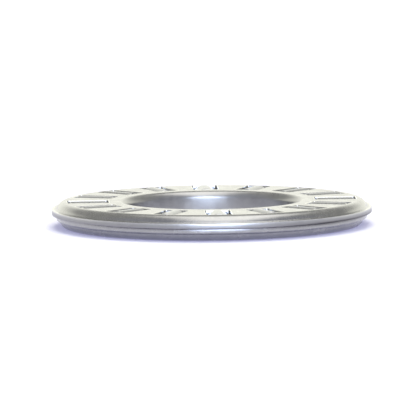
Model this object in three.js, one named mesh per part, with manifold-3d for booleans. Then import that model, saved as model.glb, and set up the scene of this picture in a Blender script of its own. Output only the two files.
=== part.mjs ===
// Thrust needle roller and cage assembly: sixteen needle rollers lie like spokes in the slots of
// a flat ring cage, which is two sheet steel pressings joined back to back.
//
// Millimetres, +Z up. The origin is on the bore's axis, in the plane that the rollers stand on.

import * as THREE from "three";
import { mergeVertices } from "three/addons/utils/BufferGeometryUtils.js";
import Module from "manifold-3d";

// Driving dimensions.
const boreDiameter = 12.7;
const outerDiameter = 23.8;
const rollerDiameter = 1.984;
const rollerLength = 2.74;
const rollerCount = 16;
const cageHeight = 1.9; // a little under the rollers' diameter, so they stand proud on both faces
const sheet = 0.4; // thickness of both pressings

// Needle rollers.
const rollerPitchRadius = 9.2; // from the bore's axis to the middle of a roller
const rollerEndRound = 0.16;
const rollerSides = 20;

// Slots, which are narrower than a roller so that it can't drop out.
const slotLength = 3.04;
const slotWidth = 1.85;
const slotCornerRadius = 0.14;

// Pressings.
const flangeStep = 0.34; // how far the lower flange lies inside the upper one
const upperFlangeWidth = 0.37; // from the foot of the crown to the edge of the flange
const lowerFlangeWidth = 0.31;
const flangeBend = 0.1; // radius where the crown's foot turns out into the flange
const upperShoulderBend = 0.72; // radius where the flat face turns down towards the crown's foot
const lowerShoulderBend = 0.42;
const crownLean = THREE.MathUtils.degToRad(12); // least slope of a crown's wall
const boreBend = 0.55; // radius where the upper face turns down into the bore
const lipBend = 0.6; // radius where the lower face turns up into its lip
const lipTopClearance = 0.2; // from the lower half's lip to the inside of the upper face
const seamGap = 0.02; // play between the two pressings
const seamDrop = 0.02; // the pressings meet this much below the rollers' axes

// The upper pressing's lip is turned outwards at the bottom of the bore, which holds the halves together.
const stakeAngle = THREE.MathUtils.degToRad(36);

// Facets.
const ringSegments = 48; // a multiple of rollerCount, so that every slot is cut alike
const bendSegments = 2; // an arc gets twice as many steps as this
const cornerSegments = 1; // the same, in the corners of a slot and round the ends of a roller
const cutMargin = 0.5; // how far a slot's cutter runs past the sheet

const boreRadius = boreDiameter / 2;
const upperFlangeRadius = outerDiameter / 2;
const lowerFlangeRadius = upperFlangeRadius - flangeStep;
const middle = rollerDiameter / 2; // height of the rollers' axes
const seam = middle - seamDrop;
const topFace = middle + cageHeight / 2;
const bottomFace = middle - cageHeight / 2;
const lowerLipRadius = boreRadius + sheet + seamGap;

// The direction of a point on an arc from the arc's centre, with the bore's axis to the left.
const outward = 0;
const above = Math.PI / 2;
const inward = Math.PI;
const below = -Math.PI / 2;

function pocketAngle(i) {
  return (2 * Math.PI * i) / rollerCount;
}

const wasm = await Module();
wasm.setup();

function toManifold(geometry) {
  const bare = geometry.clone();
  bare.deleteAttribute("normal");
  bare.deleteAttribute("uv");
  const merged = mergeVertices(bare, 1e-4);
  const mesh = new wasm.Mesh({
    numProp: 3,
    vertProperties: merged.attributes.position.array,
    triVerts: new Uint32Array(merged.index.array),
  });
  return new wasm.Manifold(mesh);
}

function fromManifold(solid) {
  const mesh = solid.getMesh();
  const geometry = new THREE.BufferGeometry();
  geometry.setAttribute("position", new THREE.BufferAttribute(mesh.vertProperties, 3));
  geometry.setIndex(new THREE.BufferAttribute(mesh.triVerts, 1));
  const flat = geometry.toNonIndexed();
  flat.computeVertexNormals();
  return flat;
}

// A profile of (radius, height) points turned about the vertical axis.
function turned(profile) {
  return new THREE.LatheGeometry(profile, ringSegments).rotateX(Math.PI / 2);
}

// The closed section of a sheet, from the curves of its two faces: skin(depth) is the face at
// that depth in the sheet.
function sheetSection(skin) {
  const outside = skin(0).getPoints(bendSegments);
  const inside = skin(sheet).getPoints(bendSegments);
  return [...outside, ...inside.reverse(), outside[0].clone()];
}

// Where the two bends of a crown have their centres, and the slope of the wall between them. A low
// crown has no straight wall: its bends meet, at a steeper slope.
function crownBends(foot, rise, shoulderBend) {
  const reach = shoulderBend + flangeBend;
  const overlap = reach - rise;
  const tilt = Math.max(crownLean, Math.asin(Math.max(0, overlap) / reach));
  const flangeBendRadius = foot + flangeBend;
  const shoulderRadius = flangeBendRadius - (reach - overlap * Math.sin(tilt)) / Math.cos(tilt);
  return { flangeBendRadius, shoulderRadius, tilt };
}

// Upper pressing, from its flange over the crown and down the bore to the staked lip.
function upperSkin(depth) {
  const ledge = seam + seamGap / 2 + sheet;
  const foot = upperFlangeRadius - upperFlangeWidth;
  const rise = topFace - ledge;
  const { flangeBendRadius, shoulderRadius, tilt } = crownBends(foot, rise, upperShoulderBend);
  const stakeRadius = lipBend + seamGap + sheet;
  const stakeHeight = bottomFace + lipBend;
  const path = new THREE.Path();
  path.moveTo(upperFlangeRadius, ledge - depth);
  path.lineTo(flangeBendRadius, ledge - depth);
  path.absarc(flangeBendRadius, ledge + flangeBend, flangeBend + depth, below, inward + tilt, true);
  path.absarc(shoulderRadius, topFace - upperShoulderBend, upperShoulderBend - depth, tilt, above);
  path.absarc(boreRadius + boreBend, topFace - boreBend, boreBend - depth, above, inward);
  path.absarc(boreRadius + stakeRadius, stakeHeight, stakeRadius - depth, inward, inward + stakeAngle);
  return path;
}

// Lower pressing, from the top of its lip down and out under the rollers to its flange.
function lowerSkin(depth) {
  const underFlange = seam - seamGap / 2 - sheet;
  const foot = lowerFlangeRadius - lowerFlangeWidth;
  const rise = underFlange - bottomFace;
  const { flangeBendRadius, shoulderRadius, tilt } = crownBends(foot, rise, lowerShoulderBend);
  const lipTop = topFace - sheet - lipTopClearance;
  const lipBendHeight = bottomFace + lipBend;
  const path = new THREE.Path();
  path.moveTo(lowerLipRadius + depth, lipTop);
  path.lineTo(lowerLipRadius + depth, lipBendHeight);
  path.absarc(lowerLipRadius + lipBend, lipBendHeight, lipBend - depth, inward, below);
  path.absarc(shoulderRadius, bottomFace + lowerShoulderBend, lowerShoulderBend - depth, below, -tilt);
  path.absarc(flangeBendRadius, underFlange - flangeBend, flangeBend + depth, inward - tilt, above, true);
  path.lineTo(lowerFlangeRadius, underFlange + depth);
  return path;
}

// A slot's outline as a prism through the whole cage, lying along +X.
function slotCutter() {
  const x = slotLength / 2 - slotCornerRadius;
  const y = slotWidth / 2 - slotCornerRadius;
  const outline = new THREE.Shape();
  outline.absarc(x, y, slotCornerRadius, outward, above);
  outline.absarc(-x, y, slotCornerRadius, above, inward);
  outline.absarc(-x, -y, slotCornerRadius, inward, below);
  outline.absarc(x, -y, slotCornerRadius, below, outward);
  const prism = new THREE.ExtrudeGeometry(outline, {
    depth: cageHeight + 2 * cutMargin,
    bevelEnabled: false,
    curveSegments: cornerSegments,
  });
  return prism.translate(rollerPitchRadius, 0, bottomFace - cutMargin);
}

// A pressing with all its slots cut.
function slottedPressing(skin) {
  let solid = toManifold(turned(sheetSection(skin)));
  for (let i = 0; i < rollerCount; i++) {
    solid = solid.subtract(toManifold(slotCutter().rotateZ(pocketAngle(i))));
  }
  return fromManifold(solid);
}

// A plain needle with rounded ends, lying along +X about its own centre.
function needleRoller() {
  const radius = rollerDiameter / 2;
  const half = rollerLength / 2;
  const path = new THREE.Path();
  path.moveTo(0, -half);
  path.lineTo(radius - rollerEndRound, -half);
  path.absarc(radius - rollerEndRound, rollerEndRound - half, rollerEndRound, below, outward);
  path.absarc(radius - rollerEndRound, half - rollerEndRound, rollerEndRound, outward, above);
  path.lineTo(0, half);
  return new THREE.LatheGeometry(path.getPoints(cornerSegments), rollerSides).rotateZ(-Math.PI / 2);
}

const cageSteel = new THREE.MeshStandardMaterial({ color: 0xc4c4bd, roughness: 0.42, metalness: 1 });
const rollerSteel = new THREE.MeshStandardMaterial({ color: 0xd6d8dc, roughness: 0.16, metalness: 1 });

function named(name, geometry, material) {
  const mesh = new THREE.Mesh(geometry, material);
  mesh.name = name;
  return mesh;
}

const bearing = new THREE.Group();
bearing.add(named("upper_cage_half", slottedPressing(upperSkin), cageSteel));
bearing.add(named("lower_cage_half", slottedPressing(lowerSkin), cageSteel));

for (let i = 0; i < rollerCount; i++) {
  const number = String(i + 1).padStart(2, "0");
  const roller = named(`needle_roller_${number}`, needleRoller(), rollerSteel);
  roller.position.set(rollerPitchRadius, 0, middle);
  const pocket = new THREE.Group();
  pocket.rotation.z = pocketAngle(i);
  pocket.add(roller);
  bearing.add(pocket);
}

export default bearing;
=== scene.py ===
"""Looks of a thrust needle roller and cage assembly: a slotted cage of two pressings, and its rollers.

Every length is in metres, in the part's own frame: +Z up on the bore's axis, with the rollers standing
on z = 0.
"""

import math

import bmesh
import bpy
import numpy as np
from mathutils import Matrix, Vector


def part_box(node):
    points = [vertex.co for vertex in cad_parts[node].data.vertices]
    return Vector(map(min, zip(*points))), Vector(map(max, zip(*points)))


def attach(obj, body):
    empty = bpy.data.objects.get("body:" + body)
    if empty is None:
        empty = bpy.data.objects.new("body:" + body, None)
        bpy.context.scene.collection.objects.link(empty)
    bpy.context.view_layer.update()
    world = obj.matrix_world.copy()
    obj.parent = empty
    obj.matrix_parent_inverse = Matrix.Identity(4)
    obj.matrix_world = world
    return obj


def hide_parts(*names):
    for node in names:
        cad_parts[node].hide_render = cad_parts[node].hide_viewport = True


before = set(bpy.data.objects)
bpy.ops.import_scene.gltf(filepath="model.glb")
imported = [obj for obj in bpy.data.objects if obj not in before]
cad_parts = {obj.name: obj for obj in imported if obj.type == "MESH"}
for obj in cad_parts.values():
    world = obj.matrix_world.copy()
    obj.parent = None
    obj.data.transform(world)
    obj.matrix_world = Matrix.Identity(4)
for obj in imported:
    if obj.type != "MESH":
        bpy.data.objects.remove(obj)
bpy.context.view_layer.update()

MM = 0.001

# Sizes that the frame gives.
UPPER_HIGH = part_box("upper_cage_half")[1]  # the box's highest corner
LOWER_LOW, LOWER_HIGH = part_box("lower_cage_half")
ROLLER_LOW, ROLLER_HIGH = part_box("needle_roller_01")  # this one lies along +X
ROLLER_NODES = sorted(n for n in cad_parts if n.startswith("needle_roller"))
ROLLER_COUNT = len(ROLLER_NODES)
ROLLER_RADIUS = (ROLLER_HIGH.z - ROLLER_LOW.z) / 2
ROLLER_LENGTH = ROLLER_HIGH.x - ROLLER_LOW.x
ROLLER_PITCH_RADIUS = (ROLLER_HIGH.x + ROLLER_LOW.x) / 2
MIDDLE = (ROLLER_HIGH.z + ROLLER_LOW.z) / 2  # height of the rollers' axes
OUTER_DIAMETER = 2 * UPPER_HIGH.x
LIP_TOP = LOWER_HIGH.z

# Sizes inside the two pressings, which their boxes don't give. They are the CAD model's.
BORE_RADIUS = 6.35 * MM
SHEET = 0.4 * MM
SEAM_GAP = 0.02 * MM
SEAM_DROP = 0.02 * MM
SEAM = MIDDLE - SEAM_DROP  # height of the seam's middle
UPPER_FLANGE_WIDTH = 0.37 * MM
LOWER_FLANGE_WIDTH = 0.31 * MM
FLANGE_BEND = 0.1 * MM
UPPER_SHOULDER_BEND = 0.72 * MM
LOWER_SHOULDER_BEND = 0.42 * MM
CROWN_LEAN = 12  # degrees, the least slope of a crown's wall
BORE_BEND = 0.55 * MM
LIP_BEND = 0.6 * MM
STAKE_ANGLE = 36  # degrees
SLOT_LENGTH = 3.04 * MM
SLOT_WIDTH = 1.85 * MM
SLOT_CORNER_RADIUS = 0.14 * MM

# Rounding that only the finished surface has.
EDGE_ROUND = 0.07 * MM  # sheared edges of the lips
UPPER_FLANGE_ROUND = 0.025 * MM  # sheared edges on the outer faces of the flanges
LOWER_FLANGE_ROUND = 0.13 * MM
FLANGE_SEAM_ROUND = 0.045 * MM  # and their edges at the seam
FLANGE_FALL = 0.005 * MM  # from the crown's foot to the edge, as the sheet sprang back
SLOT_TOP_ROUND = 0.06 * MM  # where the punch went in
SLOT_UNDER_ROUND = 0.02 * MM
ROLLER_END_ROUND = 0.1 * MM
ROLLER_END_DOME = 0.02 * MM
HOLDING_WIDTH = 0.01 * MM  # of the flat strip of faces beside each bend

# Wear is 1 on an edge that rubs bright and on a flange's outer edge, where a highlight is painted, -1 in
# the seam, where shade is painted dark, and 0 elsewhere.
FLANGE_SHEEN_WIDTH = 0.05 * MM  # of the painted highlight line on a flange's outer edge
# Width of the painted shade along a flange's edge at the seam.
SEAM_SHADE_WIDTH = 0.1 * MM
SLOT_TOP_WEAR = 1.0  # where a slot's edge meets the web's face
SLOT_INSIDE_WEAR = 0.4
SLOT_UNDER_WEAR = 0.2
ROLLER_EDGE_WEAR = 0.2

# Mesh density.
BEND_STEPS = 14
EDGE_STEPS = 5
SLOT_END_STEPS = 24  # a whole pocket's share of the ring
SLOT_SIDE_STEPS = 24
CORNER_STEPS = 8
WEB_RINGS = 5
RING_STEPS = SLOT_END_STEPS * ROLLER_COUNT
ROLLER_STEPS = 72
ROLLER_DOME_STEPS = 4
ROLLER_RINGS = (0.97, 0.6, 0.2)  # on its side, as parts of the way from its middle to its end round


# ---------------------------------------------------------------- curves


def arc(centre, radius, start, end, steps):
    """Points on an arc, with angles in degrees from the outward direction towards increasing depth."""
    angles = [math.radians(start + (end - start) * i / steps) for i in range(steps + 1)]
    return [(centre[0] + radius * math.cos(a), centre[1] + radius * math.sin(a)) for a in angles]


def between(a, b, t):
    """The pair that lies t of the way from a to b."""
    return a[0] + (b[0] - a[0]) * t, a[1] + (b[1] - a[1]) * t


def rounded_end(face, back, direction, face_round=EDGE_ROUND, back_round=EDGE_ROUND):
    """The rounded, sheared end of a sheet, between a point on its face and the one opposite on its back.

    direction points out of the sheet at that end.
    """
    face, back, out = Vector(face), Vector(back), Vector(direction).normalized()
    across = (back - face).normalized()
    points = []
    for corner, radius, start in ((face, face_round, 0), (back, -back_round, 90)):
        centre = corner + across * radius - out * abs(radius)
        for i in range(EDGE_STEPS + 1):
            a = math.radians(start + 90 * i / EDGE_STEPS)
            step = out * math.sin(a) - across * math.cos(a)
            points.append(tuple(centre + step * abs(radius)))
    return points


# A pressing's section is given as (radius, depth), with depth counted from the outside of its flat web
# towards the seam.


def rim_section(flange_radius, flange_width, shoulder_bend, seam_depth, face_round):
    """From the web's face out round the shoulder and the flange, and back along the sheet's inside."""
    rise = seam_depth - SHEET
    reach = shoulder_bend + FLANGE_BEND
    overlap = reach - rise + FLANGE_FALL
    tilt = max(math.radians(CROWN_LEAN), math.asin(max(0, overlap) / reach))
    flange = (flange_radius - flange_width + FLANGE_BEND, rise - FLANGE_FALL - FLANGE_BEND)
    shoulder = (flange[0] - (reach - overlap * math.sin(tilt)) / math.cos(tilt), shoulder_bend)
    slope = math.degrees(tilt)
    fall = math.degrees(math.atan2(FLANGE_FALL, flange_width - FLANGE_BEND))
    face = arc(shoulder, shoulder_bend, -90, -slope, BEND_STEPS)
    face += arc(flange, FLANGE_BEND, 180 - slope, 90 + fall, BEND_STEPS // 2)
    back = arc(flange, FLANGE_BEND + SHEET, 90, 180 - slope, BEND_STEPS)
    back += arc(shoulder, shoulder_bend - SHEET, -slope, -90, BEND_STEPS // 2)
    tip = ((flange_radius, rise), (flange_radius, seam_depth))
    end = rounded_end(*tip, (1, 0), face_round, FLANGE_SEAM_ROUND)
    holding = shoulder[0] - HOLDING_WIDTH
    return [(holding, 0)] + face + end + back + [(holding, SHEET)]


def upper_bore_section(height):
    """From the upper web's face inwards, down the bore and round under the lower half's lip."""
    bend = (BORE_RADIUS + BORE_BEND, BORE_BEND)
    stake_radius = LIP_BEND + SEAM_GAP + SHEET
    stake = (BORE_RADIUS + stake_radius, height - LIP_BEND)
    turned = 180 - STAKE_ANGLE
    face = arc(bend, BORE_BEND, 270, 180, BEND_STEPS) + arc(stake, stake_radius, 180, turned, BEND_STEPS)
    back = arc(stake, stake_radius - SHEET, turned, 180, BEND_STEPS)
    back += arc(bend, BORE_BEND - SHEET, 180, 270, BEND_STEPS // 2)
    tangent = (math.sin(math.radians(STAKE_ANGLE)), math.cos(math.radians(STAKE_ANGLE)))
    end = rounded_end(face[-1], back[0], tangent)
    holding = bend[0] + HOLDING_WIDTH
    return [(holding, 0)] + face[:-1] + end + back[1:] + [(holding, SHEET)]


def lower_lip_section(lip_depth):
    """From the lower web's face inwards and up its lip."""
    radius = BORE_RADIUS + SHEET + SEAM_GAP
    bend = (radius + LIP_BEND, LIP_BEND)
    face = arc(bend, LIP_BEND, 270, 180, BEND_STEPS)
    back = arc(bend, LIP_BEND - SHEET, 180, 270, BEND_STEPS // 2)
    end = rounded_end((radius, lip_depth), (radius + SHEET, lip_depth), (0, 1))
    holding = bend[0] + HOLDING_WIDTH
    return [(holding, 0)] + face + end + back + [(holding, SHEET)]


def slot_outline(offset):
    """The slot's outline about its own centre, from the middle of one corner, grown by offset."""
    a, b, c = SLOT_LENGTH / 2 + offset, SLOT_WIDTH / 2 + offset, SLOT_CORNER_RADIUS + offset
    half = CORNER_STEPS // 2
    points = []
    sides = (((a - c, b - c), SLOT_END_STEPS), ((-(a - c), b - c), SLOT_SIDE_STEPS))
    sides += (((-(a - c), -(b - c)), SLOT_END_STEPS), ((a - c, -(b - c)), SLOT_SIDE_STEPS))
    for k, (corner, steps) in enumerate(sides):
        before = sides[k - 1][0]
        turn = 90 * k
        points += arc(before, c, turn - 45, turn, half)
        straight = steps - CORNER_STEPS
        begin = points[-1]
        finish = arc(corner, c, turn, turn, 1)[0]
        for i in range(1, straight):
            points.append(between(begin, finish, i / straight))
        points += arc(corner, c, turn, turn + 45, half)[:-1]
    return points


def pocket_outline(inner, outer):
    """One pocket's share of the ring, in the slot's own axes, with as many points as slot_outline."""
    half = math.pi / ROLLER_COUNT
    loop = []
    for steps, start, end in (
        (SLOT_END_STEPS, (outer, -half), (outer, half)),
        (SLOT_SIDE_STEPS, (outer, half), (inner, half)),
        (SLOT_END_STEPS, (inner, half), (inner, -half)),
        (SLOT_SIDE_STEPS, (inner, -half), (outer, -half)),
    ):
        for i in range(steps):
            r, a = between(start, end, i / steps)
            loop.append((r * math.cos(a) - ROLLER_PITCH_RADIUS, r * math.sin(a)))
    return loop


# ---------------------------------------------------------------- meshes


class Surface:
    """Vertices and faces, with a wear value for each vertex."""

    def __init__(self):
        self.points, self.faces, self.wear = [], [], []

    def loop(self, points, wear):
        """Adds a row of points with the same wear, and returns their numbers."""
        first = len(self.points)
        self.points += [tuple(p) for p in points]
        self.wear += [wear] * len(points)
        return list(range(first, len(self.points)))

    def join(self, a, b):
        """A band of faces between two closed rows."""
        for i in range(len(a)):
            k = (i + 1) % len(a)
            self.faces.append((a[i], a[k], b[k], b[i]))

    def fan(self, loop, centre, wear):
        """Closes a row with faces to a centre point."""
        tip = self.loop([centre], wear)[0]
        for i in range(len(loop)):
            self.faces.append((loop[i], loop[(i + 1) % len(loop)], tip))

    def object(self, name, material):
        """The finished piece, with the points that fall together merged."""
        mesh = bpy.data.meshes.new(name)
        mesh.from_pydata(self.points, [], self.faces)
        attribute = mesh.attributes.new("wear", "FLOAT", "POINT")
        attribute.data.foreach_set("value", np.array(self.wear, np.float32))
        bm = bmesh.new()
        bm.from_mesh(mesh)
        bmesh.ops.remove_doubles(bm, verts=bm.verts, dist=MM / 10000)
        bmesh.ops.recalc_face_normals(bm, faces=bm.faces)
        bm.to_mesh(mesh)
        bm.free()
        mesh.shade_smooth()
        mesh.materials.append(material)
        piece = bpy.data.objects.new(name, mesh)
        bpy.context.scene.collection.objects.link(piece)
        return piece


def turned_ring(surface, section, height_at, edge_wear):
    """Turns a section about the bore's axis. edge_wear gives the wear of each of its points."""
    angles = [math.radians(360 * i / RING_STEPS) for i in range(RING_STEPS)]
    previous = None
    for (radius, depth), wear in zip(section, edge_wear):
        height = height_at(depth)
        ring = surface.loop([(radius * math.cos(a), radius * math.sin(a), height) for a in angles], wear)
        if previous:
            surface.join(previous, ring)
        previous = ring


def slot_wall():
    """How far each level of a slot's wall is grown past its outline, with its depth and its wear."""
    levels = []
    for i in range(EDGE_STEPS + 1):
        t = i / EDGE_STEPS
        a = math.radians(90 * t)
        wear = SLOT_TOP_WEAR + (SLOT_INSIDE_WEAR - SLOT_TOP_WEAR) * t
        levels.append((SLOT_TOP_ROUND * (1 - math.sin(a)), SLOT_TOP_ROUND * (1 - math.cos(a)), wear))
    for i in range(EDGE_STEPS + 1):
        a = math.radians(90 * i / EDGE_STEPS)
        depth = SHEET - SLOT_UNDER_ROUND * (1 - math.sin(a))
        levels.append((SLOT_UNDER_ROUND * (1 - math.cos(a)), depth, SLOT_UNDER_WEAR))
    return levels


def slotted_web(surface, inner, outer, height_at):
    """The flat ring between two radii, on both sides of the sheet, with a slot at each roller."""
    boundary = np.array(pocket_outline(inner, outer))
    for pocket in range(ROLLER_COUNT):
        turn = Matrix.Rotation(2 * math.pi * pocket / ROLLER_COUNT, 3, "Z")

        def ring(outline, depth, wear):
            spots = [Vector((x + ROLLER_PITCH_RADIUS, y, 0)) for x, y in outline]
            return surface.loop([turn @ s + Vector((0, 0, height_at(depth))) for s in spots], wear)

        def web(depth, edge_offset):
            held = np.array(slot_outline(edge_offset + HOLDING_WIDTH))
            rings = []
            for k in range(WEB_RINGS + 1):
                rings.append(ring(boundary + (held - boundary) * k / WEB_RINGS, depth, 0))
            for a, b in zip(rings, rings[1:]):
                surface.join(a, b)
            return rings[-1]

        previous = web(0, SLOT_TOP_ROUND)
        for offset, depth, wear in slot_wall():
            level = ring(slot_outline(offset), depth, wear)
            surface.join(previous, level)
            previous = level
        surface.join(previous, web(SHEET, SLOT_UNDER_ROUND))


def nearness(point, spot, reach):
    """1 at the spot, falling to 0 at a distance of reach."""
    return max(0.0, 1 - math.hypot(point[0] - spot[0], point[1] - spot[1]) / reach)


def rim_sheen_and_shade(section, flange_radius, seam_depth):
    """A painted highlight on the flange's outside edge, and painted shade on its edge at the seam."""
    rubbed_and_sheen = (flange_radius, seam_depth - SHEET)
    shaded_edge = (flange_radius, seam_depth)
    return [nearness(p, rubbed_and_sheen, FLANGE_SHEEN_WIDTH) - nearness(p, shaded_edge, SEAM_SHADE_WIDTH) for p in section]


def cage_half(name, node, web_height, up, rim, rim_edges, bore_section):
    """One pressing. up is 1 if its web faces up and -1 if it faces down."""
    surface = Surface()

    def height_at(depth):
        return web_height - up * depth

    turned_ring(surface, rim, height_at, rim_edges)
    unworn = [0.0] * len(bore_section)
    turned_ring(surface, bore_section, height_at, unworn)
    slotted_web(surface, bore_section[0][0], rim[0][0], height_at)
    piece = surface.object(name, cage_steel)
    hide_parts(node)
    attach(piece, "cage")
    return piece


def roller_section():
    """From near the middle of one end to near the middle of the other, as (x, radius, wear)."""
    half = ROLLER_LENGTH / 2
    flat = ROLLER_RADIUS - ROLLER_END_ROUND
    section = []
    for i in range(1, ROLLER_DOME_STEPS + 1):
        t = i / ROLLER_DOME_STEPS
        section.append((half - ROLLER_END_DOME * t * t, flat * t, 0.0))
    shoulder = half - ROLLER_END_DOME - ROLLER_END_ROUND
    round_steps = EDGE_STEPS * 2
    for i in range(1, round_steps + 1):
        a = math.radians(90 * i / round_steps)
        x = shoulder + ROLLER_END_ROUND * math.cos(a)
        section.append((x, flat + ROLLER_END_ROUND * math.sin(a), ROLLER_EDGE_WEAR))
    for t in ROLLER_RINGS:
        section.append((shoulder * t, ROLLER_RADIUS, 0.0))
    return section + [(-x, r, wear) for x, r, wear in reversed(section)]


def roller(number, node):
    """A needle with crowned ends, made along +X about its own centre and then put in its pocket."""
    surface = Surface()
    angles = [2 * math.pi * i / ROLLER_STEPS for i in range(ROLLER_STEPS)]
    previous = None
    for x, r, wear in roller_section():
        ring = surface.loop([(x, r * math.sin(a), r * math.cos(a)) for a in angles], wear)
        if previous is None:
            surface.fan(ring, (ROLLER_LENGTH / 2, 0, 0), 0.0)
        else:
            surface.join(previous, ring)
        previous = ring
    surface.fan(previous, (-ROLLER_LENGTH / 2, 0, 0), 0.0)
    piece = surface.object(f"needle_{number:02d}", roller_steel)
    turn = Matrix.Rotation(2 * math.pi * (number - 1) / ROLLER_COUNT, 4, "Z")
    piece.matrix_world = turn @ Matrix.Translation((ROLLER_PITCH_RADIUS, 0, MIDDLE))
    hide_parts(node)
    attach(piece, f"roller_{number:02d}")
    return piece


# ---------------------------------------------------------------- materials


class Nodes:
    """Short calls that build the node tree of a material or the world."""

    def __init__(self, tree):
        self.tree = tree
        tree.nodes.clear()

    def add(self, kind, inputs=None, **settings):
        node = self.tree.nodes.new(kind)
        for key, value in settings.items():
            setattr(node, key, value)
        for key, value in (inputs or {}).items():
            if isinstance(value, bpy.types.NodeSocket):
                self.tree.links.new(value, node.inputs[key])
            else:
                node.inputs[key].default_value = value
        return node

    def math(self, operation, a, b=0.0):
        return self.add("ShaderNodeMath", {0: a, 1: b}, operation=operation).outputs[0]

    def ramp(self, value, low, high, to_low, to_high):
        inputs = {"Value": value, "From Min": low, "From Max": high, "To Min": to_low, "To Max": to_high}
        return self.add("ShaderNodeMapRange", inputs).outputs[0]

    def smooth(self, value, low, high):
        """0 at low and 1 at high, with an even turn at both; high may be the smaller."""
        inputs = {"Value": value, "From Min": low, "From Max": high}
        return self.add("ShaderNodeMapRange", inputs, interpolation_type="SMOOTHSTEP").outputs[0]

    def noise(self, vector, scale, detail=3.0, roughness=0.55):
        inputs = {"Vector": vector, "Scale": scale, "Detail": detail, "Roughness": roughness}
        return self.add("ShaderNodeTexNoise", inputs).outputs["Fac"]

    def mix(self, factor, a, b):
        node = self.add("ShaderNodeMix", data_type="RGBA")
        for socket, value in zip((node.inputs[0], node.inputs[6], node.inputs[7]), (factor, a, b)):
            if isinstance(value, bpy.types.NodeSocket):
                self.tree.links.new(value, socket)
            else:
                socket.default_value = value
        return node.outputs[2]


def millimetres(nodes):
    """The surface point in the piece's own axes, in millimetres."""
    place = nodes.add("ShaderNodeTexCoord").outputs["Object"]
    return nodes.add("ShaderNodeVectorMath", {0: place, "Scale": 1 / MM}, operation="SCALE").outputs[0]


def new_material(name):
    material = bpy.data.materials.new(name)
    material.use_nodes = True
    return material, Nodes(material.node_tree)


# Colours of the cage's steel, as how much red, green and blue it mirrors.
CAGE_DARK = (0.345, 0.345, 0.34, 1)
CAGE_LIGHT = (0.4, 0.397, 0.385, 1)
CAGE_MARKED = (0.31, 0.31, 0.32, 1)
# Painted shade on the upper flange's sheared edge.
CAGE_SHEARED_SHADE = (0.2, 0.2, 0.195, 1)
# Bright colour of the rubbed slot edges, also painted on the flange edges as a highlight.
CAGE_RUBBED_AND_SHEEN = (0.9, 0.9, 0.87, 1)
# Painted shade for the seam between the flanges, faint and deep.
SEAM_SHADE_FAINT = (0.25, 0.245, 0.26, 1)
SEAM_SHADE_DEEP = (0.015, 0.012, 0.022, 1)

# Where the cage's finish changes, in millimetres.
SHEARED_RADII = (11.84, 11.88)  # the upper flange's sheared edge, darkened with painted shade
DRAWN_RADII = (6.8, 6.4)  # the wall of the bore
SEAM_SHADE_X = (3.5, 8.0)  # the seam's painted shade is faint before the first and deep after the second

# Fineness of its noises, in cells to a millimetre.
LAY_SCALE = 26.0
LAY_ALONG = 0.9  # one radian of the ring counts as this many millimetres, so the marks are long
GRAIN_SCALE = 55.0
SCRATCH_SCALE = (60, 4, 30)
SCRATCH_TURN = (0.3, 0.2, 0.7)  # radians
BLOTCH_SCALE = 1.1

# Levels of a noise: it shows least at the first and most at the second.
LAY_LEVELS = (0.3, 0.7)
GRAIN_LEVELS = (0.35, 0.6)
BLOTCH_LEVELS = (0.35, 0.65)
SEAM_SHADE_LEVELS = (0.0, -0.6)
CAGE_PATCH_LEVELS = (0.5, 1.0)

MARKED_PART = 0.35  # how much of their own colour the turning marks have at most
SHEARED_SHADE_PART = 0.3
RUBBED_AND_SHEEN_LEAST = 0.3  # how much the rubbed slot edges and the painted highlight on the flange edges show where the grain is lowest
GRAIN_IN_SEAM_SHADE = 0.3
GRAIN_IN_PATCHES = 0.5
CAGE_ROUGHNESS = (0.2, 0.31)
RUBBED_SMOOTHER = 0.08
DRAWN_ROUGHER = 0.08
SHEARED_ROUGHER = 0.1
CAGE_BUMP = 0.25
CAGE_BUMP_HEIGHT = 0.004 * MM
LAY_BUMP = 0.6  # each noise's share of the bump
GRAIN_BUMP = 0.5
SCRATCH_BUMP = 0.5

ROLLER_DARK = (0.4, 0.405, 0.415, 1)
ROLLER_LIGHT = (0.46, 0.462, 0.465, 1)
ROLLER_WORN = (0.56, 0.56, 0.57, 1)
ROLLER_WORN_PART = 0.6
ROLLER_LAY_SCALE = (42, 2.5, 2.5)  # finest along the needle, so the lines run round it
ROLLER_CLOUD_SCALE = 1.6
ROLLER_CLOUD_LEVELS = (0.35, 0.65)
ROLLER_LAY_IN_PATCHES = 0.4
ROLLER_PATCH_LEVELS = (0.4, 0.9)
ROLLER_ROUGHNESS = (0.22, 0.34)
ROLLER_BUMP = 0.2
ROLLER_BUMP_HEIGHT = 0.002 * MM
SEED_SPREAD = 37.0  # in millimetres of noise, so that no two rollers look alike


def finish_material(material, nodes, colour, rough, height, strength, distance):
    """A metal with that colour, roughness and bump."""
    bump = nodes.add("ShaderNodeBump", {"Height": height, "Strength": strength, "Distance": distance})
    inputs = {"Base Color": colour, "Roughness": rough, "Normal": bump.outputs[0], "Metallic": 1.0}
    shader = nodes.add("ShaderNodeBsdfPrincipled", inputs)
    nodes.add("ShaderNodeOutputMaterial", {"Surface": shader.outputs[0]})
    return material


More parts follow.
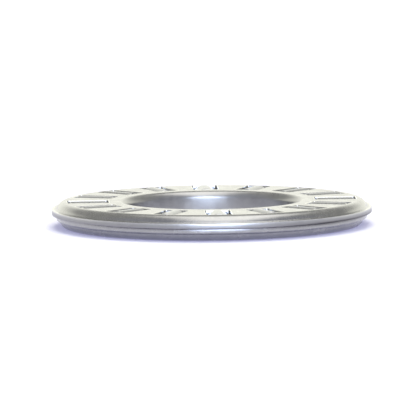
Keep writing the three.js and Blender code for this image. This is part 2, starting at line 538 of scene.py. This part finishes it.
def make_cage_steel():
    """Tumbled cold-rolled strip: fine scratches, turning marks round the ring, and rubbed edges, with a
    painted highlight on the flange edges and painted shade in the seam and on the upper flange's sheared
    edge.
    """
    material, nodes = new_material("cage_steel")
    place = millimetres(nodes)
    x, y, z = nodes.add("ShaderNodeSeparateXYZ", {0: place}).outputs
    squares = nodes.math("ADD", nodes.math("POWER", x, 2.0), nodes.math("POWER", y, 2.0))
    radius = nodes.math("SQRT", squares)
    angle = nodes.math("ARCTAN2", y, x)
    along = nodes.math("MULTIPLY", angle, LAY_ALONG)
    round_ring = nodes.add("ShaderNodeCombineXYZ", {0: radius, 1: along, 2: z})
    lay = nodes.noise(round_ring.outputs[0], scale=LAY_SCALE, detail=4.0, roughness=0.6)
    grain = nodes.noise(place, scale=GRAIN_SCALE, detail=4.0, roughness=0.65)
    turned = {"Vector": place, "Rotation": SCRATCH_TURN, "Scale": SCRATCH_SCALE}
    scratches = nodes.noise(nodes.add("ShaderNodeMapping", turned).outputs[0], scale=1.0, detail=2.0)
    blotches = nodes.noise(place, scale=BLOTCH_SCALE, detail=3.0)
    worn = nodes.add("ShaderNodeAttribute", attribute_name="wear").outputs["Fac"]
    uneven = nodes.ramp(grain, *GRAIN_LEVELS, RUBBED_AND_SHEEN_LEAST, 1.0)
    # Real rubbing on the slot edges, and a painted highlight on the flange edges.
    rubbed_and_sheen = nodes.math("MULTIPLY", nodes.math("MAXIMUM", worn, 0.0), uneven)
    # Painted shade along the seam between the flanges.
    seam_shade = nodes.math("ADD", worn, nodes.math("MULTIPLY", grain, GRAIN_IN_SEAM_SHADE))
    seam_shade = nodes.ramp(seam_shade, *SEAM_SHADE_LEVELS, 0.0, 1.0)
    sheared = nodes.smooth(radius, *SHEARED_RADII)
    drawn = nodes.smooth(radius, *DRAWN_RADII)

    colour = nodes.mix(nodes.ramp(blotches, *BLOTCH_LEVELS, 0.0, 1.0), CAGE_DARK, CAGE_LIGHT)
    colour = nodes.mix(nodes.ramp(lay, *LAY_LEVELS, 0.0, MARKED_PART), colour, CAGE_MARKED)
    # Painted shade on the upper flange's sheared edge.
    colour = nodes.mix(nodes.math("MULTIPLY", sheared, SHEARED_SHADE_PART), colour, CAGE_SHEARED_SHADE)
    colour = nodes.mix(rubbed_and_sheen, colour, CAGE_RUBBED_AND_SHEEN)
    # The seam's painted shade, deeper towards +X.
    seam_shade_colour = nodes.mix(nodes.ramp(x, *SEAM_SHADE_X, 0.0, 1.0), SEAM_SHADE_FAINT, SEAM_SHADE_DEEP)
    colour = nodes.mix(seam_shade, colour, seam_shade_colour)

    patches = nodes.math("ADD", blotches, nodes.math("MULTIPLY", grain, GRAIN_IN_PATCHES))
    rough = nodes.ramp(patches, *CAGE_PATCH_LEVELS, *CAGE_ROUGHNESS)
    rough = nodes.math("SUBTRACT", rough, nodes.math("MULTIPLY", rubbed_and_sheen, RUBBED_SMOOTHER))
    rough = nodes.math("ADD", rough, nodes.math("MULTIPLY", drawn, DRAWN_ROUGHER))
    rough = nodes.math("ADD", rough, nodes.math("MULTIPLY", sheared, SHEARED_ROUGHER))

    height = nodes.math("MULTIPLY", lay, LAY_BUMP)
    height = nodes.math("ADD", height, nodes.math("MULTIPLY", grain, GRAIN_BUMP))
    height = nodes.math("ADD", height, nodes.math("MULTIPLY", scratches, SCRATCH_BUMP))
    return finish_material(material, nodes, colour, rough, height, CAGE_BUMP, CAGE_BUMP_HEIGHT)


def make_roller_steel():
    """Ground and lapped bearing steel: a fine lay round the needle, and brighter end edges."""
    material, nodes = new_material("roller_steel")
    seed = nodes.add("ShaderNodeObjectInfo").outputs["Random"]
    shift = nodes.math("MULTIPLY", seed, SEED_SPREAD)
    shifted = {0: millimetres(nodes), 1: (1, 1, 1), 2: shift}
    place = nodes.add("ShaderNodeVectorMath", shifted, operation="MULTIPLY_ADD").outputs[0]
    around = nodes.add("ShaderNodeMapping", {"Vector": place, "Scale": ROLLER_LAY_SCALE})
    lay = nodes.noise(around.outputs[0], scale=1.0, detail=3.0)
    cloud = nodes.noise(place, scale=ROLLER_CLOUD_SCALE, detail=3.0)
    worn = nodes.add("ShaderNodeAttribute", attribute_name="wear").outputs["Fac"]

    shade = nodes.ramp(cloud, *ROLLER_CLOUD_LEVELS, 0.0, 1.0)
    colour = nodes.mix(shade, ROLLER_DARK, ROLLER_LIGHT)
    colour = nodes.mix(nodes.math("MULTIPLY", worn, ROLLER_WORN_PART), colour, ROLLER_WORN)
    patches = nodes.math("ADD", cloud, nodes.math("MULTIPLY", lay, ROLLER_LAY_IN_PATCHES))
    rough = nodes.ramp(patches, *ROLLER_PATCH_LEVELS, *ROLLER_ROUGHNESS)
    return finish_material(material, nodes, colour, rough, lay, ROLLER_BUMP, ROLLER_BUMP_HEIGHT)


# ---------------------------------------------------------------- the stage

CAMERA_AZIMUTH = 3.0  # degrees to the left of -Y, which puts the nearest roller right of the middle
CAMERA_ELEVATION = 5.88
CAMERA_ROLL = 0.6  # clockwise
CAMERA_DISTANCE = 40 * OUTER_DIAMETER
SENSOR_WIDTH = 36  # the camera's own millimetres
FRAME_WIDTH = 1.3 * OUTER_DIAMETER  # how much of the part's plane the frame takes in
AIM_LEFT = 0.0118 * OUTER_DIAMETER  # how far left of the part's middle, and above it, the camera aims
AIM_ABOVE = 0.0141 * OUTER_DIAMETER


def make_camera():
    """A long lens, a little above the part."""
    data = bpy.data.cameras.new("camera")
    data.sensor_width = SENSOR_WIDTH
    data.lens = SENSOR_WIDTH * CAMERA_DISTANCE / FRAME_WIDTH
    data.clip_start = CAMERA_DISTANCE / 10
    data.clip_end = CAMERA_DISTANCE * 20
    camera = bpy.data.objects.new("camera", data)
    bpy.context.scene.collection.objects.link(camera)
    turn = Matrix.Rotation(math.radians(-CAMERA_AZIMUTH), 4, "Z")
    tilt = Matrix.Rotation(math.radians(90 - CAMERA_ELEVATION), 4, "X")
    roll = Matrix.Rotation(math.radians(-CAMERA_ROLL), 4, "Z")
    offset = Matrix.Translation((-AIM_LEFT, AIM_ABOVE, CAMERA_DISTANCE))
    camera.matrix_world = Matrix.Translation((0, 0, MIDDLE)) @ turn @ tilt @ roll @ offset
    bpy.context.scene.camera = camera


FLOOR_SIZE = 60 * OUTER_DIAMETER  # from its middle to a side
FLOOR_WHITE = 0.6
FLOOR_LIFT = (0.22, 0.215, 0.36)  # what its shadows never fall below, so they look blue
KEY_ENERGY = 1.2  # of the overhead lamp, which lights the floor and isn't mirrored in the steel
KEY_ANGLE = 42  # degrees across, for soft shadows
KEY_LEAN = 14  # degrees from overhead, towards the back
KEY_COLOUR = (1.0, 0.99, 0.88)

# The room that the steel mirrors, as a sphere of radius 1 round the part. Brightness is given as red,
# green and blue.
SCREEN = (1.55, 1.55, 1.4)  # wide, low and behind the part
SCREEN_FULL = 13  # degrees above the horizon up to which it is at full brightness
SCREEN_END = 37  # and where it ends
ROOM_BACK = (0.50, 0.50, 0.48)
ROOM_FRONT = (0.48, 0.49, 0.55)
ROOM_BLEND = 0.3  # how far in front of the middle and behind it the two mix
SOFTBOX = (2.5, 2.48, 2.42)  # overhead
SOFTBOX_CENTRE = 0.13  # how far it lies to the right, as a part of its height
SOFTBOX_FULL = 0.18  # half the width of its brightest part
SOFTBOX_END = 0.52  # half its whole width
SOFTBOX_BACK = (48, 76)  # degrees above the horizon behind where it starts, and is at full brightness
SOFTBOX_FRONT = (152, 112)  # the same at its near edge, still counted from the horizon behind
PANEL = (1.6, 1.62, 1.75)  # behind the camera, from the softbox down to the horizon
PANEL_CENTRE = 0.1  # how far it lies to the right, as a part of its distance in front
PANEL_FULL = 0.08
PANEL_END = 0.42
PANEL_DEPTH = 0.5  # how far in front of the part it reaches full brightness
WINDOW = (7.0, 8.2, 11.0)  # a small cool light by the camera
WINDOW_FULL = 3  # degrees from its centre
WINDOW_END = 26
WINDOW_AZIMUTH = 6  # degrees to the right of the camera
WINDOW_ELEVATION = 4


def make_floor():
    """A plain pale floor."""
    mesh = bpy.data.meshes.new("floor")
    corners = [(-1, -1, 0), (1, -1, 0), (1, 1, 0), (-1, 1, 0)]
    mesh.from_pydata([Vector(c) * FLOOR_SIZE for c in corners], [], [(0, 1, 2, 3)])
    material, nodes = new_material("floor")
    white = nodes.add("ShaderNodeBsdfDiffuse", {"Color": (FLOOR_WHITE, FLOOR_WHITE, FLOOR_WHITE, 1)})
    lift = nodes.add("ShaderNodeEmission", {"Color": (*FLOOR_LIFT, 1), "Strength": 1.0})
    both = nodes.add("ShaderNodeAddShader", {0: white.outputs[0], 1: lift.outputs[0]})
    nodes.add("ShaderNodeOutputMaterial", {"Surface": both.outputs[0]})
    mesh.materials.append(material)
    floor = bpy.data.objects.new("floor", mesh)
    bpy.context.scene.collection.objects.link(floor)


def soft_disc(nodes, direction, centre, full, end):
    """1 within full degrees of a centre direction, falling smoothly to 0 at end degrees."""
    inputs = {0: direction, 1: tuple(Vector(centre).normalized())}
    closeness = nodes.add("ShaderNodeVectorMath", inputs, operation="DOT_PRODUCT").outputs["Value"]
    return nodes.smooth(closeness, math.cos(math.radians(end)), math.cos(math.radians(full)))


def make_world():
    """A dim room: a bright screen behind, a softbox overhead, and a panel and a cool window in front."""
    world = bpy.data.worlds.new("studio")
    world.use_nodes = True
    bpy.context.scene.world = world
    nodes = Nodes(world.node_tree)
    direction = nodes.add("ShaderNodeTexCoord").outputs["Generated"]
    right, away, up = nodes.add("ShaderNodeSeparateXYZ", {0: direction}).outputs
    rise = nodes.math("ARCTAN2", up, away)  # from the horizon behind, over the part, to the one in front

    def strip(along, centre, full, end):
        """1 where right is within full of centre times along, falling to 0 at end."""
        offset = nodes.math("SUBTRACT", right, nodes.math("MULTIPLY", along, centre))
        return nodes.smooth(nodes.math("ABSOLUTE", offset), end, full)

    def risen(low, high):
        """0 where the rise is low and 1 where it is high, in degrees."""
        return nodes.smooth(rise, math.radians(low), math.radians(high))

    behind = nodes.smooth(away, -ROOM_BLEND, ROOM_BLEND)
    sky = nodes.mix(behind, (*ROOM_FRONT, 1), (*ROOM_BACK, 1))
    sky = nodes.mix(risen(SCREEN_END, SCREEN_FULL), sky, (*SCREEN, 1))

    panel = strip(nodes.math("MULTIPLY", away, -1.0), PANEL_CENTRE, PANEL_FULL, PANEL_END)
    panel = nodes.math("MULTIPLY", panel, nodes.smooth(away, 0.0, -PANEL_DEPTH))
    sky = nodes.mix(panel, sky, (*PANEL, 1))

    softbox = strip(up, SOFTBOX_CENTRE, SOFTBOX_FULL, SOFTBOX_END)
    softbox = nodes.math("MULTIPLY", softbox, risen(*SOFTBOX_BACK))
    softbox = nodes.math("MULTIPLY", softbox, risen(*SOFTBOX_FRONT))
    sky = nodes.mix(softbox, sky, (*SOFTBOX, 1))

    azimuth = math.radians(WINDOW_AZIMUTH - CAMERA_AZIMUTH)
    window = (math.sin(azimuth), -math.cos(azimuth), math.tan(math.radians(WINDOW_ELEVATION)))
    sky = nodes.mix(soft_disc(nodes, direction, window, WINDOW_FULL, WINDOW_END), sky, (*WINDOW, 1))
    background = nodes.add("ShaderNodeBackground", {"Color": sky, "Strength": 1.0})
    nodes.add("ShaderNodeOutputWorld", {"Surface": background.outputs[0]})


def make_key():
    """The lamp for the floor and its shadows."""
    data = bpy.data.lights.new("key", "SUN")
    data.energy = KEY_ENERGY
    data.angle = math.radians(KEY_ANGLE)
    data.color = KEY_COLOUR
    lamp = bpy.data.objects.new("key", data)
    lamp.visible_glossy = False
    lamp.rotation_euler.x = math.radians(-KEY_LEAN)
    bpy.context.scene.collection.objects.link(lamp)


bpy.context.scene.view_settings.view_transform = "Standard"
make_camera()
make_floor()
make_world()
make_key()

cage_steel = make_cage_steel()
roller_steel = make_roller_steel()

upper_depth = UPPER_HIGH.z - SEAM - SEAM_GAP / 2  # from its web's face to its side of the seam
upper_bends = (UPPER_FLANGE_WIDTH, UPPER_SHOULDER_BEND, upper_depth, UPPER_FLANGE_ROUND)
upper_rim = rim_section(UPPER_HIGH.x, *upper_bends)
upper_edges = rim_sheen_and_shade(upper_rim, UPPER_HIGH.x, upper_depth)
upper_bore = upper_bore_section(UPPER_HIGH.z - LOWER_LOW.z)
cage_half("upper_pressing", "upper_cage_half", UPPER_HIGH.z, 1, upper_rim, upper_edges, upper_bore)

lower_depth = SEAM - SEAM_GAP / 2 - LOWER_LOW.z
lower_bends = (LOWER_FLANGE_WIDTH, LOWER_SHOULDER_BEND, lower_depth, LOWER_FLANGE_ROUND)
lower_rim = rim_section(LOWER_HIGH.x, *lower_bends)
lower_edges = rim_sheen_and_shade(lower_rim, LOWER_HIGH.x, lower_depth)
lower_lip = lower_lip_section(LIP_TOP - LOWER_LOW.z)
cage_half("lower_pressing", "lower_cage_half", LOWER_LOW.z, -1, lower_rim, lower_edges, lower_lip)

for index, node in enumerate(ROLLER_NODES):
    roller(index + 1, node)
